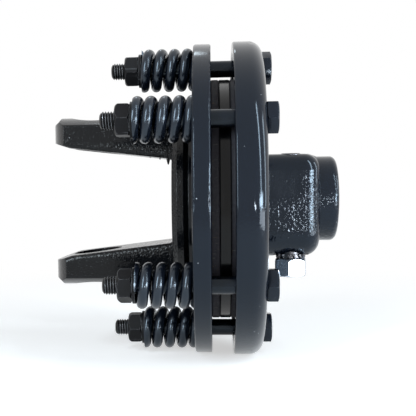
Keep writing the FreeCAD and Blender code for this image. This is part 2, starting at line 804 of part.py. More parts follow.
def clamp_bolt(number):
    """Hexagon-head bolt through the cup, the plate and a spring, with its tip to the yoke side."""
    body = hex_body(
        f"clamp_bolt_{number}", CUP_BACK, CUP_BACK + size("head_height"), size("hex_flats"), None, False, True
    )
    radius, chamfer = size("bolt_radius"), size("bolt_tip_chamfer")
    middle = as_size(0.0)
    neck = CUP_BACK + size("head_height") * 0.5
    shank = [(BOLT_TIP, middle), (BOLT_TIP, radius - chamfer), (BOLT_TIP + chamfer, radius), (neck, radius)]
    turned(body, "shank", shank + [(neck, middle)])
    put_on_bolt(body, number, HEAD_TURNS[number - 1])


def adjusting_nut(number):
    """Hexagon nut that sets the load of its spring."""
    bore = size("bolt_radius") + size("nut_clearance")
    left = NUT_FACE - size("nut_height")
    body = hex_body(f"adjusting_nut_{number}", left, NUT_FACE, size("hex_flats"), bore, True, True)
    put_on_bolt(body, number, NUT_TURNS[number - 1])


def spring_washer(number):
    """Flat washer between a nut and its spring."""
    body = ring(
        f"spring_washer_{number}", NUT_FACE, SPRING_SEAT, size("washer_bore"), size("washer_radius")
    )
    put_on_bolt(body, number)


def spring_path(start_degrees):
    """Centre line of a left-hand spring: close end turns, and open turns between them."""
    wire, length, pitch = (size(name).value for name in ("spring_wire", "spring_length", "spring_pitch"))
    middle_radius = size("spring_radius").value - wire / 2
    tip = -wire / 4
    close_rise = CLOSED_TURNS * wire
    open_rise = length - 2 * (tip + close_rise)
    open_turns = open_rise / pitch
    turns = open_turns + 2 * CLOSED_TURNS
    count = round(turns * PATH_POINTS_PER_TURN)
    points = []
    for step in range(count + 1):
        turn = turns * step / count
        first = min(turn, CLOSED_TURNS) * wire
        opened = min(max(turn - CLOSED_TURNS, 0.0), open_turns) * pitch
        last = max(turn - CLOSED_TURNS - open_turns, 0.0) * wire
        around = math.radians(start_degrees) - 2 * math.pi * turn
        across = Vector(0, -math.sin(around), math.cos(around)) * middle_radius
        points.append(Vector(SPRING_SEAT.value + tip + first + opened + last, 0, 0) + across)
    return points


def clutch_spring(number):
    """Compression spring with closed ends, ground flat on its washer and on the plate."""
    points = spring_path(SPRING_STARTS[number - 1])
    curve = Part.BSplineCurve()
    curve.interpolate(points)
    spine = doc.addObject("Part::Feature", f"spring_spine_{number}")
    spine.Shape = Part.Wire([curve.toShape()])
    section = doc.addObject("Part::Circle", f"spring_section_{number}")
    section.setExpression("Radius", (size("spring_wire") * 0.5).formula)
    tangent = curve.tangent(curve.FirstParameter)[0]
    section.Placement = Placement(points[0], Rotation(Vector(0, 0, 1), tangent))
    coil = doc.addObject("Part::Sweep", f"spring_coil_{number}")
    coil.Sections = [section]
    coil.Spine = (spine, [])
    coil.Solid = True
    coil.Frenet = True
    space = doc.addObject("Part::Cylinder", f"spring_space_{number}")
    space.setExpression("Radius", (size("spring_radius") + CUT_MARGIN).formula)
    space.setExpression("Height", size("spring_length").formula)
    space.Placement = Placement(Vector(SPRING_SEAT.value, 0, 0), Rotation(Vector(0, 1, 0), 90))
    space.setExpression("Placement.Base.x", SPRING_SEAT.formula)
    spring = doc.addObject("Part::Common", f"spring_{number}")
    spring.Label = f"spring_{number}"
    spring.Base = coil
    spring.Tool = space
    doc.recompute()
    put_on_bolt(spring, number)


def taper_pin():
    """Tapered cross pin that locks the hub on the shaft's groove, drawn in by its nut."""
    body = new_body("taper_pin")
    thread, chamfer = size("pin_thread_radius"), size("bolt_tip_chamfer")
    foot = -size("pin_seat") - size("pin_washer_thick") - size("pin_nut_height")
    taper = pin_hole_outline(as_size(0.0))
    shoulder = (thread, -size("pin_seat"))
    outline = taper[:3] + [shoulder, (thread, foot + chamfer), (thread - chamfer, foot), (0.0, foot)]
    turned_on_pin(body, "PartDesign::Revolution", "pin", outline)


def pin_ring(label, top, thick, inner, outer):
    """A flat ring on the foot of the pin, hanging from a height."""
    body = new_body(label)
    outline = [(inner, top), (outer, top), (outer, top - thick), (inner, top - thick)]
    turned_on_pin(body, "PartDesign::Revolution", "ring", outline)


def pin_nut():
    """Plated nut on the foot of the tapered pin, chamfered at both ends."""
    flats = size("pin_nut_flats")
    bore = size("pin_thread_radius") + size("nut_clearance")
    body = hex_body("taper_pin_nut", as_size(0.0), size("pin_nut_height"), flats, bore, True, True)
    top = -size("pin_seat") - size("pin_washer_thick")
    turn = Rotation(Vector(0, 1, 0), 90) * Rotation(Vector(1, 0, 0), PIN_NUT_TURN)
    body.Placement = Placement(Vector(size("pin_place").value, PIN_Y.value, top.value), turn)
    body.setExpression("Placement.Base.x", size("pin_place").formula)
    body.setExpression("Placement.Base.y", PIN_Y.formula)
    body.setExpression("Placement.Base.z", top.formula)


def pin_hardware():
    """The tapered pin, its washer and its nut."""
    taper_pin()
    inner = size("pin_thread_radius") + size("pin_washer_gap")
    thick, outer = size("pin_washer_thick"), size("pin_washer_radius")
    pin_ring("taper_pin_washer", -size("pin_seat"), thick, inner, outer)
    pin_nut()


ON_EACH_BOLT = {
    "clamp_bolt": clamp_bolt,
    "spring": clutch_spring,
    "spring_washer": spring_washer,
    "adjusting_nut": adjusting_nut,
}
BOLT_NUMBERS = range(1, 7)
LABELS = ["flange_yoke", "hub_housing", "pressure_plate", "lining_left", "lining_right", "centre_bush"]
LABELS += ["taper_pin", "taper_pin_washer", "taper_pin_nut"]
LABELS += [f"{name}_{number}" for name in ON_EACH_BOLT for number in BOLT_NUMBERS]


def build():
    """Make every piece of the clutch in the document."""
    flange_yoke()
    hub_housing()
    pressure_plate()
    lining("lining_left", as_size(0.0))
    lining("lining_right", FLANGE_RIGHT)
    centre_bush()
    pin_hardware()
    for make in ON_EACH_BOLT.values():
        for number in BOLT_NUMBERS:
            make(number)
    doc.recompute()


def check_and_write():
    """Stop on any failed object or shape, then write each piece under its label."""
    for item in doc.Objects:
        if {"Invalid", "Error"} & set(item.State):
            raise RuntimeError(f"{item.Label} failed: {item.State}")
    os.makedirs("parts", exist_ok=True)
    for label in LABELS:
        shape = doc.getObjectsByLabel(label)[0].Shape
        if shape.isNull() or not shape.isValid() or len(shape.Solids) != 1:
            raise RuntimeError(f"{label} is not one valid solid")
        shape.exportStep(f"parts/{label}.step")
        box = shape.BoundBox
        print(f"{label}: {shape.Volume / 1000:.2f} cm3, X {box.XMin:.1f} to {box.XMax:.1f}")


build()
check_and_write()
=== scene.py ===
import math

import bmesh
import bpy
from bpy.props import FloatProperty, FloatVectorProperty, PointerProperty
from bpy.types import NodeSocket, Operator, Panel, PropertyGroup
from mathutils import Matrix, Vector


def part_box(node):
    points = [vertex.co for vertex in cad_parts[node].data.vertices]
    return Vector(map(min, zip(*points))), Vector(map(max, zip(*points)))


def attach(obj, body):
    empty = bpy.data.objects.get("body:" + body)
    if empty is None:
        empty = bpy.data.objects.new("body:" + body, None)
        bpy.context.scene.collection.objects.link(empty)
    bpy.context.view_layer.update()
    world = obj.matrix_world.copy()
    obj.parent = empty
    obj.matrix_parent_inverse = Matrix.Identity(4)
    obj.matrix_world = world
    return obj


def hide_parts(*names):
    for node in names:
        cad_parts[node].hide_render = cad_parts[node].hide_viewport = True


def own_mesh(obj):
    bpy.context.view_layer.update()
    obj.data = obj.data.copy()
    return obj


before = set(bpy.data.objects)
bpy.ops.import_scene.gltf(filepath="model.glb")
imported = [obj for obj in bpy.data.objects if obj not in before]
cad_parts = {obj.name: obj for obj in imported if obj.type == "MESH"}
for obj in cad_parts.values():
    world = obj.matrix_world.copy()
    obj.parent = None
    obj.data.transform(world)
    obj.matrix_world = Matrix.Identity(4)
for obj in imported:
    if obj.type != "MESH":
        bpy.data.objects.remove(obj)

bl_info = {
    "name": "Friction Clutch Maker",
    "version": (1, 0, 0),
    "blender": (4, 5, 0),
    "location": "3D View > Sidebar > Clutch",
    "description": "Makes the springs, fasteners, castings and paint of a driveline friction clutch",
    "category": "Add Mesh",
}

MM = 0.001
BOLT_NUMBERS = range(1, 7)

# Turn of each piece about its own axis, in degrees
HEAD_TURNS = (0, 34, 30, 27, 12, 48)
NUT_TURNS = (39, 25, 3, 30, 17, 44)
SPRING_STARTS = (0, 230, 100, 290, 40, 160)
THREAD_TURN = 47
PLATED_NUT_TURN = 41

SPRING_POINTS_PER_TURN = 24
# How far before its seat the middle of a spring's wire starts, as a share of the wire's diameter
WIRE_START = 0.25

# Shares of a thread's pitch that its flat crests and flat roots take
CREST_SHARE = 0.14
ROOT_SHARE = 0.12

# Ends of turned outlines, as (distance from the end, radius) in millimetres
BOLT_POINT = ((0, 0), (0, 3.1), (0.35, 3.8), (1.1, 4.6))
HEAD_FOOT = ((0, 0), (0, 8.9), (0.5, 9.6), (0.8, 11))
HEAD_TOP = ((-1.1, 10.9), (0, 7.9), (0, 5.9), (-0.25, 5.5), (-0.25, 0))
PIN_TOP = ((0, 0), (0, 4.9), (0.25, 5.7), (0.7, 6.28))
PIN_SEAT = ((0, 5.9), (0.4, 5.3), (0.4, 0))
PIN_FOOT = ((-1.3, 5.5), (-0.3, 4.6), (0, 3.6), (0, 0))

# Cross pin's thread and nut, in millimetres
PIN_THREAD_RADIUS = 5.5
PIN_THREAD_PITCH = 1.5
PIN_THREAD_DEPTH = 0.82
PLATED_NUT_ROUND = 0.35

# Inset of a nut's turned end from its flats, and width of its countersink, in millimetres
NUT_INSET = 0.6
NUT_SINK = 0.75

# Toothed washer: radii and sizes in millimetres, and the count, taper and twist of its teeth
RING_BORE = 5.6
RING_FACE = 6.9
RING_RIM = 7.2
TWIST_START = 6.8
TOOTH_MIDDLE = 7.5
TOOTH_TIP = 8.5
TOOTH_COUNT = 14
TOOTH_WIDTH = 1.7
TOOTH_LENGTH = 2.0
TOOTH_TAPER = 0.62
TOOTH_TWIST = 0.32
TOOTH_ROUND = 0.12

# Place, radius and fall of each drip under the yoke, in millimetres
DRIPS = (
    ((-25.4, -17.5, 25.0), 1.25, 2.2),
    ((-30.5, -14.0, 25.6), 0.6, 0.5),
    ((-36.0, -19.0, 26.3), 0.45, 0.4),
)

# Colours of the cross pin's steel, of small marks and chips, and of the backdrop
GROUND_STEEL = (0.10, 0.10, 0.11)
DUST = (0.34, 0.36, 0.38, 1)
DUST_ON_WIRE = (0.16, 0.15, 0.14, 1)
BRASS_CHIP = (0.34, 0.24, 0.10, 1)
PALE_FIBRE = (0.20, 0.19, 0.17, 1)
WHITE = (1, 1, 1, 1)

# Depth of the skin under the paint, in millimetres
HUB_SKIN = 0.20
CUP_BACK_SKIN = 0.045
LOW_RIM_SKIN = 0.035
TURNED_SKIN = 0.008
EAR_SKIN = (0.06, 0.34)
FLANGE_SKIN = 0.006
BOLT_SKIN = 0.003

# Camera: millimetres, then degrees of yaw, pitch and roll
CAMERA_PLACE = (0.90, -561.9, 13.6)
CAMERA_TURN = (5.49, -4.6, -0.84)
CAMERA_SHIFT = (0.1971, 0.1058)
FRAME_WIDTH = 36

# Floor: radius, gap under the clutch and where it fades to white, in metres
FLOOR_RADIUS = 6.0
FLOOR_GAP = 0.0002
FLOOR_FADE = (0.12, 0.55)
# Glow of the floor near the clutch, where 1 is white
FLOOR_LIFT = 0.55

COOL = (0.80, 0.92, 1.0)
WARM = (0.97, 0.98, 1.0)
# Name, setting, width and height, distance (metres), degrees right of and above the camera, and colour
LAMPS = (
    ("left_strip", "left", (0.23, 1.05), 1.2, -28, 20, COOL),
    ("right_panel", "right", (0.60, 0.13), 1.2, 53, 0.4, COOL),
    ("far_strip", "far", (0.12, 1.90), 1.2, 52, 24, COOL),
    ("top_lamp", "top", (0.17, 0.12), 1.2, 188, 50, COOL),
    ("end_lamp", "end", (0.18, 0.80), 1.2, 94, 16, COOL),
    ("low_lamp", "low", (0.07, 0.08), 0.9, 15, -1.6, WARM),
    ("side_card", "card", (0.28, 0.075), 0.40, 57, -9.5, WARM),
)


def span(node):
    """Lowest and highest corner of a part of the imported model, in millimetres."""
    low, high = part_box(node)
    return low / MM, high / MM


def length(name, value, description):
    """A size in metres, given in millimetres."""
    return FloatProperty(
        name=name, default=value * MM, description=description, unit="LENGTH", subtype="DISTANCE", precision=5
    )


def paint(name, value, description):
    """A colour that a user may change."""
    return FloatVectorProperty(
        name=name, default=value, description=description, subtype="COLOR", min=0, max=1, size=3
    )


def share(name, value, description):
    """A number from 0 to 1."""
    return FloatProperty(name=name, default=value, description=description, subtype="FACTOR", min=0, max=1)


def brightness(name, value, description):
    """How bright a lamp looks, where 1 is white."""
    return FloatProperty(name=name, default=value, description=description, min=0)


NUT_LOW, NUT_HIGH = span("adjusting_nut_1")
BOLT_LOW, BOLT_HIGH = span("clamp_bolt_1")
PIN_LOW, PIN_HIGH = span("taper_pin")
PIN_NUT_LOW, PIN_NUT_HIGH = span("taper_pin_nut")
PIN_WASHER_LOW, PIN_WASHER_HIGH = span("taper_pin_washer")
SPRING_SEAT = span("spring_washer_1")[1].x
SPRING_END = span("pressure_plate")[0].x
LOWEST = span("hub_housing")[0].z


class ClutchFastenerSizes(PropertyGroup):
    """Sizes of the clamp bolts and their nuts."""

    shank_radius: length("Shank radius", 5.0, "Radius of a clamp bolt over its thread")
    thread_pitch: length("Thread pitch", 1.5, "Distance from one thread crest to the next")
    thread_depth: length("Thread depth", 0.82, "Depth of the thread below its crests")
    thread_reach: length("Thread reach", 30.0, "Length of thread on a clamp bolt")
    across_flats: length("Across flats", 17.0, "Width of each hexagon over its flats")
    head_height: length("Head height", 6.4, "Height of a bolt head")
    corner_round: length("Corner rounding", 0.28, "Rounding of the hexagons' edges")


class ClutchSpringSizes(PropertyGroup):
    """Sizes of the six coil springs."""

    outer_radius: length("Outer radius", 13.0, "Radius over the coil")
    wire: length("Wire", 6.2, "Diameter of the wire")
    pitch: length("Pitch", 7.7, "Distance between the open coils")
    closed_turns: FloatProperty(name="Closed turns", default=0.8, description="Turns closed up at each end")


class ClutchPaintLook(PropertyGroup):
    """Colours and gloss of the paints and metals."""

    enamel: paint("Enamel", (0.0026, 0.0040, 0.0078), "Blue-black gloss paint of the castings and springs")
    forged: paint("Forged paint", (0.0032, 0.0036, 0.0046), "Paint of the forged yoke")
    oxide: paint("Black oxide", (0.0034, 0.0034, 0.0042), "Finish of the bolts and nuts")
    bare_steel: paint("Bare steel", (0.32, 0.33, 0.35), "Steel where the finish has rubbed off")
    zinc: paint("Zinc plate", (0.60, 0.68, 0.77), "Plated nut of the cross pin")
    lining: paint("Friction lining", (0.017, 0.016, 0.022), "Pressed friction material")
    bronze: paint("Bronze", (0.46, 0.29, 0.12), "Bush of the yoke")
    # Painted reflection: this tint lays blue on the paint's reflections, in place of a blue sky mirrored in
    # it
    painted_reflection_tint: paint("Cast of the gloss", (0.74, 0.87, 1.0), "Tint of the reflections in the paint")
    forged_sheen: paint("Cast on the forging", (0.87, 0.87, 0.86), "Tint of the reflections in the yoke")
    gloss: share("Roughness of the gloss paint", 0.085, "Lower is glossier")


class ClutchStudioLook(PropertyGroup):
    """Camera and lamps."""

    lens: FloatProperty(
        name="Lens", default=78.92, description="Focal length on a 36 mm wide frame", unit="CAMERA"
    )
    left: brightness("Left strip", 13.5, "Brightness of the tall strip left of the camera")
    right: brightness("Right panel", 25.0, "Brightness of the level panel on the right")
    far: brightness("Far strip", 15.0, "Brightness of the tall strip on the right")
    top: brightness("Top lamp", 6.0, "Brightness of the small lamp above and behind")
    end: brightness("End lamp", 6.0, "Brightness of the tall lamp off the hub's end")
    low: brightness("Low lamp", 42.0, "Brightness of the small lamp near the floor")
    card: brightness("Side card", 7.0, "Brightness of the low card on the right")
    fill: share("Fill", 0.1, "Strength of the soft light from all round")


# Handling of pieces


def leave_edit_mode():
    """Back to object mode with nothing selected."""
    if bpy.context.object and bpy.context.object.mode != "OBJECT":
        bpy.ops.object.mode_set(mode="OBJECT")
    bpy.ops.object.select_all(action="DESELECT")


def take(piece):
    """Make a piece the only one selected, and the active one."""
    leave_edit_mode()
    piece.hide_set(False)
    piece.select_set(True)
    bpy.context.view_layer.objects.active = piece


def named(piece, name):
    """Give a piece and its mesh one name."""
    piece.name = name
    piece.data.name = name
    return piece


def settle(piece):
    """Put the place and turn of a piece into its mesh."""
    take(piece)
    bpy.ops.object.transform_apply(location=True, rotation=True, scale=True)
    return piece


def edit(piece, choose="VERT"):
    """Open a piece in edit mode with nothing selected."""
    take(piece)
    bpy.ops.object.mode_set(mode="EDIT")
    bpy.ops.mesh.select_mode(type=choose)
    bpy.ops.mesh.select_all(action="DESELECT")


def pick(piece, test):
    """Select the vertices of the piece in edit mode for which test is true."""
    mesh = bmesh.from_edit_mesh(piece.data)
    for vertex in mesh.verts:
        vertex.select_set(test(vertex))
    mesh.select_flush_mode()
    bmesh.update_edit_mesh(piece.data)
    if not any(vertex.select for vertex in mesh.verts):
        raise RuntimeError(f"nothing to select on {piece.name}")


def done(piece, angle=32):
    """Close edit mode, turn all faces outwards and shade smooth up to an angle."""
    edit(piece)
    bpy.ops.mesh.select_all(action="SELECT")
    bpy.ops.mesh.remove_doubles(threshold=1e-6)
    bpy.ops.mesh.normals_make_consistent(inside=False)
    take(piece)
    bpy.ops.object.shade_smooth_by_angle(angle=math.radians(angle))
    return piece


def use(piece, kind, **settings):
    """Add a modifier to a piece with its settings, and apply it."""
    take(piece)
    modifier = piece.modifiers.new(kind.title(), kind)
    for key, value in settings.items():
        setattr(modifier, key, value)
    bpy.ops.object.modifier_apply(modifier=modifier.name)
    return piece


def combine(piece, tool, operation):
    """Join, cut or intersect a piece with a tool, which is used up."""
    use(piece, "BOOLEAN", object=tool, operation=operation, solver="EXACT")
    bpy.data.objects.remove(tool)


def joined(pieces, name):
    """Several pieces made one."""
    take(pieces[0])
    for piece in pieces[1:]:
        piece.select_set(True)
    bpy.ops.object.join()
    return named(bpy.context.object, name)


def copied(piece, name, move):
    """A copy of a piece with its own mesh, moved by a matrix."""
    twin = piece.copy()
    twin.data = piece.data.copy()
    bpy.context.collection.objects.link(twin)
    twin.data.transform(move)
    return named(twin, name)


def bolt_place(number, turn=0.0):
    """Matrix from the shaft line to a bolt's own axis, turned about it in degrees."""
    low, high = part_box(f"spring_washer_{number}")
    middle = (low + high) / 2
    return Matrix.Translation((0, middle.y, middle.z)) @ Matrix.Rotation(math.radians(turn), 4, "X")


def outline(*ends):
    """Points of a turned outline, from pairs of a station and the offsets of its points."""
    return [(station + along, radius) for station, offsets in ends for along, radius in offsets]


def chain(name, points):
    """A bare line through (station, radius) points in millimetres, drawn vertex by vertex."""
    start, height = points[0]
    bpy.ops.mesh.primitive_plane_add(size=MM, location=(start * MM, 0, height * MM))
    line = settle(named(bpy.context.object, name))
    edit(line)
    bpy.ops.mesh.select_all(action="SELECT")
    bpy.ops.mesh.merge(type="CENTER")
    for (here, low), (there, high) in zip(points, points[1:]):
        step = ((there - here) * MM, 0, (high - low) * MM)
        bpy.ops.mesh.extrude_vertices_move(TRANSFORM_OT_translate={"value": step})
    leave_edit_mode()
    return line


def swept(line, steps, **settings):
    """Turn a line about the X axis, or wind it along a screw where an offset is given."""
    return use(
        line, "SCREW", axis="X", angle=math.tau, steps=steps, render_steps=steps,
        use_merge_vertices=True, merge_threshold=1e-6, use_smooth_shade=False, **settings,
    )


def lathe(name, points, steps=72):
    """A solid turned about the X axis from (station, radius) points in millimetres."""
    return done(swept(chain(name, points), steps))


def cut_ends(piece, left, right):
    """Cut a piece flat at two stations in millimetres, and close it there."""
    for station, side in ((left, -1), (right, 1)):
        edit(piece)
        bpy.ops.mesh.select_all(action="SELECT")
        bpy.ops.mesh.bisect(
            plane_co=(station * MM, 0, 0), plane_no=(side, 0, 0), use_fill=True, clear_outer=True
        )


def hexagon(name, left, right, flats):
    """A hexagonal block between two stations, with a corner straight up."""
    corner = flats / math.sqrt(3)
    bpy.ops.mesh.primitive_cylinder_add(
        vertices=6, radius=corner * MM, depth=(right - left) * MM,
        location=((left + right) / 2 * MM, 0, 0), rotation=(0, math.pi / 2, 0),
    )
    block = settle(named(bpy.context.object, name))
    block.data.transform(Matrix.Rotation(math.radians(30), 4, "X"))
    return block


def softened(piece, width):
    """Round the sharp edges of a piece."""
    use(
        piece, "BEVEL", width=width, segments=2, limit_method="ANGLE", angle_limit=math.radians(25),
        miter_outer="MITER_ARC",
    )
    return done(piece, 40)


def thread(name, left, right, radius, pitch, depth):
    """A right-hand screw thread between two stations, cut flat at both ends."""
    root = radius - depth
    crest, foot = pitch * CREST_SHARE, pitch * ROOT_SHARE
    slope = (pitch - crest - foot) / 2
    profile = [(0, root), (slope, radius), (slope + crest, radius), (slope * 2 + crest, root), (pitch, root)]
    turns = math.ceil((right - left) / pitch) + 2
    piece = chain(name, [(left - pitch + station, height) for station, height in profile])
    swept(piece, 40, screw_offset=pitch * MM, iterations=turns)
    cut_ends(piece, left, right)
    return done(piece)


def mark_crests(piece, root, crest):
    """Note on every point of a thread about the X axis how far it stands from the root to the crest."""
    mark = piece.data.attributes.new("crest", "FLOAT", "POINT")
    for vertex, note in zip(piece.data.vertices, mark.data):
        height = math.hypot(vertex.co.y, vertex.co.z) / MM
        note.value = min(max((height - root) / (crest - root), 0), 1)


def make_nut(name, left, right, flats, bore, rounding):
    """A nut about the X axis, with turned corners and countersunk bore."""
    nut = hexagon(name, left, right, flats)
    corner, face = flats / math.sqrt(3), flats / 2 - NUT_INSET
    outside = [
        (left, 0), (left, face), (left + 0.7, face + 0.9), (left + 2.0, corner + 0.1),
        (left + 2.4, corner + 1), (right - 1.6, corner + 1),
        (right - 1.3, corner + 0.1), (right - 0.5, face + 0.9), (right, face), (right, 0),
    ]
    combine(nut, lathe(f"{name}_cover", outside), "INTERSECT")
    sink = bore + NUT_SINK
    hole = [
        (left - 1, 0), (left - 1, sink), (left, sink), (left + 0.8, bore - 0.1),
        (right - 0.8, bore - 0.1), (right, sink), (right + 1, sink), (right + 1, 0),
    ]
    combine(nut, lathe(f"{name}_hole", hole, 40), "DIFFERENCE")
    return softened(nut, rounding)


def finish_piece(piece, body, slot, finish, *nodes):
    """Paint a piece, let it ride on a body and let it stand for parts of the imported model."""
    leave_edit_mode()
    piece.data.materials.clear()
    piece.data.materials.append(finish_of(finish))
    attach(piece, body)
    if nodes:
        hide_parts(*nodes)


def repaint(name, finish):
    """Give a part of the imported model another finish."""
    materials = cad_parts[name].data.materials
    materials.clear()
    materials.append(finish_of(finish))


# Paints and metals


class Recipe:
    """A material or a shared effect under construction."""

    def __init__(self, tree):
        self.tree = tree

    def put(self, socket, value):
        """Feed a socket from another socket, or set it to a value."""
        if isinstance(value, NodeSocket):
            self.tree.links.new(value, socket)
        else:
            socket.default_value = value

    def node(self, kind, inputs=None, **settings):
        """Add a node, set it up and feed its inputs from values or other sockets."""
        node = self.tree.nodes.new(f"ShaderNode{kind}")
        for key, value in settings.items():
            setattr(node, key, value)
        for key, value in (inputs or {}).items():
            self.put(node.inputs[key], value)
        return node

    def math(self, operation, first, second=0.0, clamp=False):
        """The result of one operation on two numbers."""
        return self.node("Math", {0: first, 1: second}, operation=operation, use_clamp=clamp).outputs[0]

    def times(self, first, *others):
        """The product of several numbers."""
        for other in others:
            first = self.math("MULTIPLY", first, other)
        return first

    def plus(self, first, *others, clamp=False):
        """The sum of several numbers, held between 0 and 1 if it is clamped."""
        for other in others:
            first = self.math("ADD", first, other, clamp)
        return first

    def distance(self, first, second):
        """Distance from the middle of two axes."""
        return self.math("SQRT", self.plus(self.math("POWER", first, 2.0), self.math("POWER", second, 2.0)))

    def noise(self, where, scale, detail, roughness=0.5, distortion=0.0):
        """Soft clouds, by the number of them in a metre."""
        inputs = {"Vector": where, "Scale": scale, "Detail": detail, "Roughness": roughness}
        return self.node("TexNoise", inputs | {"Distortion": distortion}).outputs["Fac"]

    def cells(self, where, scale):
        """Distance to the nearest of scattered points."""
        return self.node("TexVoronoi", {"Vector": where, "Scale": scale}).outputs["Distance"]

    def between(self, value, low, high, out_low=0.0, out_high=1.0):
        """A number stretched from one range to another, and held inside it."""
        inputs = {"Value": value, "From Min": low, "From Max": high, "To Min": out_low, "To Max": out_high}
        return self.node("MapRange", inputs, interpolation_type="SMOOTHSTEP").outputs[0]

    def mixed(self, factor, first, second):
        """A colour between two colours."""
        return self.node("Mix", {0: factor, 6: first, 7: second}, data_type="RGBA").outputs[2]

    def place(self):
        """Place in the object, in metres."""
        return self.node("TexCoord").outputs["Object"]

    def axes(self, place):
        """A place along each of the three axes."""
        return self.node("SeparateXYZ", {0: place}).outputs

    def streaks(self, place, turn, scale, roughness):
        """Clouds drawn out into thin lines."""
        stretched = self.node("Mapping", {"Vector": place, "Rotation": turn, "Scale": scale}).outputs[0]
        return self.noise(stretched, 1.0, 2.0, roughness)

    def flat_normal(self):
        """The normal of the mesh itself."""
        return self.node("NewGeometry").outputs["Normal"]

    def relief(self, height, depth, normal):
        """A normal bent by a height, given the depth of its full range in metres."""
        inputs = {"Height": height, "Distance": depth, "Strength": 1.0, "Normal": normal}
        return self.node("Bump", inputs).outputs["Normal"]

    def seen(self):
        """1 for what the camera sees, straight on or in metal and glass, and 0 for what only gives light."""
        path = self.node("LightPath").outputs
        mirrored = self.math("MAXIMUM", path["Is Glossy Ray"], path["Is Transmission Ray"])
        return self.math("MAXIMUM", path["Is Camera Ray"], mirrored)

    def shared(self, name, **inputs):
        """Place a shared effect and feed its inputs."""
        node = self.tree.nodes.new("ShaderNodeGroup")
        node.node_tree = bpy.data.node_groups[name]
        for key, value in inputs.items():
            self.put(node.inputs[key.capitalize()], value)
        return node.outputs

    def feed(self, shader, **sockets):
        """Feed sockets of a shader from values or other sockets."""
        for key, value in sockets.items():
            self.put(shader.inputs[key.replace("_", " ").title().replace("Ior", "IOR")], value)


def rgba(colour, factor=1.0):
    """A colour with full alpha, brightened or darkened by a factor."""
    return (colour[0] * factor, colour[1] * factor, colour[2] * factor, 1.0)


def effect(name, inputs, outputs):
    """An empty shared effect with named sockets: floats by value, vectors where the value is None."""
    group = bpy.data.node_groups.new(name, "ShaderNodeTree")
    for key, value in inputs.items():
        kind = "NodeSocketVector" if value is None else "NodeSocketFloat"
        socket = group.interface.new_socket(key, in_out="INPUT", socket_type=kind)
        if value is not None:
            socket.default_value = value
    for key, kind in outputs.items():
        group.interface.new_socket(key, in_out="OUTPUT", socket_type=f"NodeSocket{kind}")
    given = group.nodes.new("NodeGroupInput").outputs
    result = group.nodes.new("NodeGroupOutput").inputs
    return Recipe(group), given, result


def make_rough_skin():
    """Effect: the skin of a casting or forging, with hills and pits."""
    recipe, given, result = effect(
        "rough_skin", {"Place": None, "Grain": 420.0, "Coarse": 0.5, "Pits": 0.2}, {"Height": "Float"}
    )
    swell = recipe.noise(given["Place"], given["Grain"], 0.6, 0.4, 0.5)
    hills = recipe.noise(given["Place"], recipe.times(given["Grain"], 0.27), 1.0, 0.5, 0.3)
    holes = recipe.between(recipe.cells(given["Place"], recipe.times(given["Grain"], 0.8)), 0.0, 0.28)
    pitted = recipe.times(recipe.math("SUBTRACT", holes, 1.0), given["Pits"])
    recipe.put(result["Height"], recipe.plus(swell, recipe.times(hills, given["Coarse"]), pitted))


def make_edge_wear():
    """Effect: a rounded normal, and patches along the sharp edges."""
    recipe, given, result = effect(
        "edge_wear", {"Place": None, "Width": 0.0006, "Breakup": 0.5}, {"Mask": "Float", "Normal": "Vector"}
    )
    rounded = recipe.node("Bevel", {"Radius": given["Width"]}, samples=6).outputs["Normal"]
    turn = recipe.node("VectorMath", {0: rounded, 1: recipe.flat_normal()}, operation="DOT_PRODUCT")
    edge = recipe.between(turn.outputs["Value"], 0.985, 0.80)
    patch = recipe.noise(given["Place"], 260.0, 4.0, 0.65)
    low = recipe.times(given["Breakup"], 0.62)
    kept = recipe.between(patch, low, recipe.plus(low, 0.16))
    recipe.put(result["Mask"], recipe.times(edge, kept))
    recipe.put(result["Normal"], rounded)


def make_handling_marks():
    """Effect: smudges, specks of dust and scratches."""
    outputs = {"Smudge": "Float", "Speck": "Float", "Scratch": "Float"}
    recipe, given, result = effect("handling_marks", {"Place": None, "Amount": 0.5}, outputs)
    clouds = recipe.noise(given["Place"], 38.0, 4.0, 0.6, 0.8)
    specks = recipe.between(recipe.cells(given["Place"], 125.0), 0.050, 0.030)
    sparse = recipe.between(recipe.noise(given["Place"], 55.0, 2.0), 0.50, 0.58)
    lines = recipe.between(recipe.streaks(given["Place"], (0.5, 0.8, 0.3), (30, 900, 900), 0.4), 0.70, 0.74)
    recipe.put(result["Smudge"], recipe.times(recipe.between(clouds, 0.42, 0.68), given["Amount"]))
    recipe.put(result["Speck"], recipe.times(specks, sparse))
    recipe.put(result["Scratch"], recipe.times(lines, given["Amount"]))


def make_turning_marks():
    """Effect: the fine rings that a lathe leaves."""
    recipe, given, result = effect("turning_marks", {"Place": None, "Feed": 2600.0}, {"Height": "Float"})
    axes = recipe.axes(given["Place"])
    ring = recipe.node("CombineXYZ", {0: recipe.distance(axes[1], axes[2]), 1: axes[0]}).outputs[0]
    recipe.put(result["Height"], recipe.noise(ring, given["Feed"], 2.0, 0.7))


def new_material(name):
    """The recipe and the Principled shader of an empty material."""
    material = bpy.data.materials.new(name)
    material.use_nodes = True
    material.node_tree.nodes.clear()
    recipe = Recipe(material.node_tree)
    shader = recipe.node("BsdfPrincipled")
    recipe.node("OutputMaterial", {"Surface": shader.outputs[0]})
    return recipe, shader


